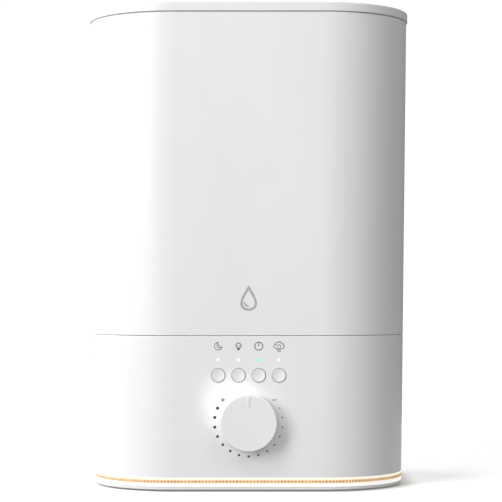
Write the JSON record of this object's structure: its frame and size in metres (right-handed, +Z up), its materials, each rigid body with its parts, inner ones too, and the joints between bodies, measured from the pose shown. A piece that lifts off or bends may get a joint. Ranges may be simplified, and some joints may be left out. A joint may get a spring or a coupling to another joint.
{
  "type": "cool mist humidifier",
  "caption": "Top-fill cool mist humidifier: lift-off water tank and lid over a base with a dial, push buttons, a light band, a fan, a float and an aroma drawer.",
  "frame": {"origin": "on the floor plane under the middle of the body; the base plate's underside is 1 mm above it", "axes": "+Z up, -Y towards the front with the dial and buttons, +X to the right as seen from the front"},
  "size_m": [0.2118, 0.1689, 0.3169],
  "materials": {
    "white_shell": "satin moulded ABS",
    "white_plinth": "matte moulded ABS",
    "white_control": "satin moulded ABS",
    "white_inner": "matte moulded polypropylene",
    "frosted_band": "frosted translucent acrylic",
    "clear_lens": "clear light pipe",
    "led_body": "moulded LED package",
    "grey_rubber": "matte rubber",
    "clear_silicone": "satin silicone",
    "grey_duct": "matte moulded ABS",
    "black_plastic": "matte moulded PBT",
    "circuit_board": "solder resist",
    "aluminium": "extruded",
    "steel": "zinc plated",
    "brass": "turned",
    "transducer_ceramic": "nickel-plated piezo disc",
    "magnet": "sintered ferrite",
    "copper": "enamelled winding",
    "foam": "open-cell foam"
  },
  "bodies": {
    "base": {"base_housing": "white_shell", "base_plate": "white_plinth", "rubber_feet": "grey_rubber", "light_band": "frosted_band", "light_strip": "circuit_board", "strip_leds": "led_body", "base_screws": "steel", "water_basin": "white_inner", "deck_screws": "steel", "transducer_disc": "transducer_ceramic", "transducer_seal": "grey_rubber", "transducer_clamp": "steel", "clamp_screws": "steel", "float_keeper": "white_inner", "float_switch": "black_plastic", "fan_frame": "black_plastic", "fan_bearing": "brass", "fan_stator": "copper", "fan_screws": "steel", "intake_filter": "foam", "air_duct": "grey_duct", "main_board": "circuit_board", "board_components": "black_plastic", "driver_heatsink": "aluminium", "board_screws": "steel", "power_inlet": "black_plastic", "inlet_pin": "brass", "control_board": "circuit_board", "key_switches": "black_plastic", "indicator_leds": "led_body", "indicator_lenses": "clear_lens", "dial_potentiometer": "black_plastic", "dial_nut": "steel", "aroma_bay": "grey_duct"},
    "dial": {"dial_knob": "white_control", "dial_shaft": "steel"},
    "sleep_key": {"sleep_button": "white_control"},
    "light_key": {"light_button": "white_control"},
    "timer_key": {"timer_button": "white_control"},
    "mist_key": {"mist_button": "white_control"},
    "fan": {"fan_rotor": "black_plastic", "fan_shaft": "steel"},
    "float": {"float_ring": "white_inner", "float_magnet": "magnet"},
    "drawer": {"aroma_drawer": "white_shell", "aroma_pad": "foam"},
    "tank": {"tank_shell": "white_shell", "mist_tube": "white_inner", "tube_gasket": "clear_silicone", "valve_cap": "white_inner", "neck_gasket": "clear_silicone", "valve_cage": "white_inner", "valve_spring": "steel"},
    "valve": {"valve_plunger": "white_inner", "valve_seal": "clear_silicone"},
    "lid": {"lid_cover": "white_shell", "lid_liner": "white_inner", "lid_gasket": "clear_silicone"},
    "nozzle": {"mist_nozzle": "white_inner"}
  },
  "joints": [
    {"name": "dial_turn", "type": "hinge", "parent": "base", "child": "dial", "pos_m": [0, -0.0771, 0.0443], "axis": [0, 1, 0], "range_deg": [0, 311]},
    {"name": "sleep_press", "type": "slide", "parent": "base", "child": "sleep_key", "axis": [0, 1, 0], "range_m": [0, 0.0008], "stiffness_N_per_m": 1500, "springref_m": -0.0004},
    {"name": "light_press", "type": "slide", "parent": "base", "child": "light_key", "axis": [0, 1, 0], "range_m": [0, 0.0008], "stiffness_N_per_m": 1500, "springref_m": -0.0004},
    {"name": "timer_press", "type": "slide", "parent": "base", "child": "timer_key", "axis": [0, 1, 0], "range_m": [0, 0.0008], "stiffness_N_per_m": 1500, "springref_m": -0.0004},
    {"name": "mist_press", "type": "slide", "parent": "base", "child": "mist_key", "axis": [0, 1, 0], "range_m": [0, 0.0008], "stiffness_N_per_m": 1500, "springref_m": -0.0004},
    {"name": "fan_spin", "type": "hinge", "parent": "base", "child": "fan", "pos_m": [0.048, 0.012, 0.0135], "axis": [0, 0, 1], "continuous": true},
    {"name": "float_rise", "type": "slide", "parent": "base", "child": "float", "axis": [0, 0, 1], "range_m": [0, 0.006]},
    {"name": "drawer_pull", "type": "slide", "parent": "base", "child": "drawer", "axis": [0, 1, 0], "range_m": [0, 0.022]},
    {"name": "tank_lift", "type": "slide", "parent": "base", "child": "tank", "axis": [0, 0, 1], "range_m": [0, 0.12]},
    {"name": "valve_close", "type": "slide", "parent": "tank", "child": "valve", "axis": [0, 0, 1], "range_m": [-0.003, 0], "deforming": ["valve_spring"]},
    {"name": "lid_lift", "type": "slide", "parent": "tank", "child": "lid", "axis": [0, 0, 1], "range_m": [0, 0.06]},
    {"name": "nozzle_turn", "type": "hinge", "parent": "lid", "child": "nozzle", "pos_m": [0, 0, 0.309], "axis": [0, 0, 1], "continuous": true}
  ],
  "couplings": [
    {"joint": "valve_close", "follows": "tank_lift", "ratio": -0.025}
  ]
}
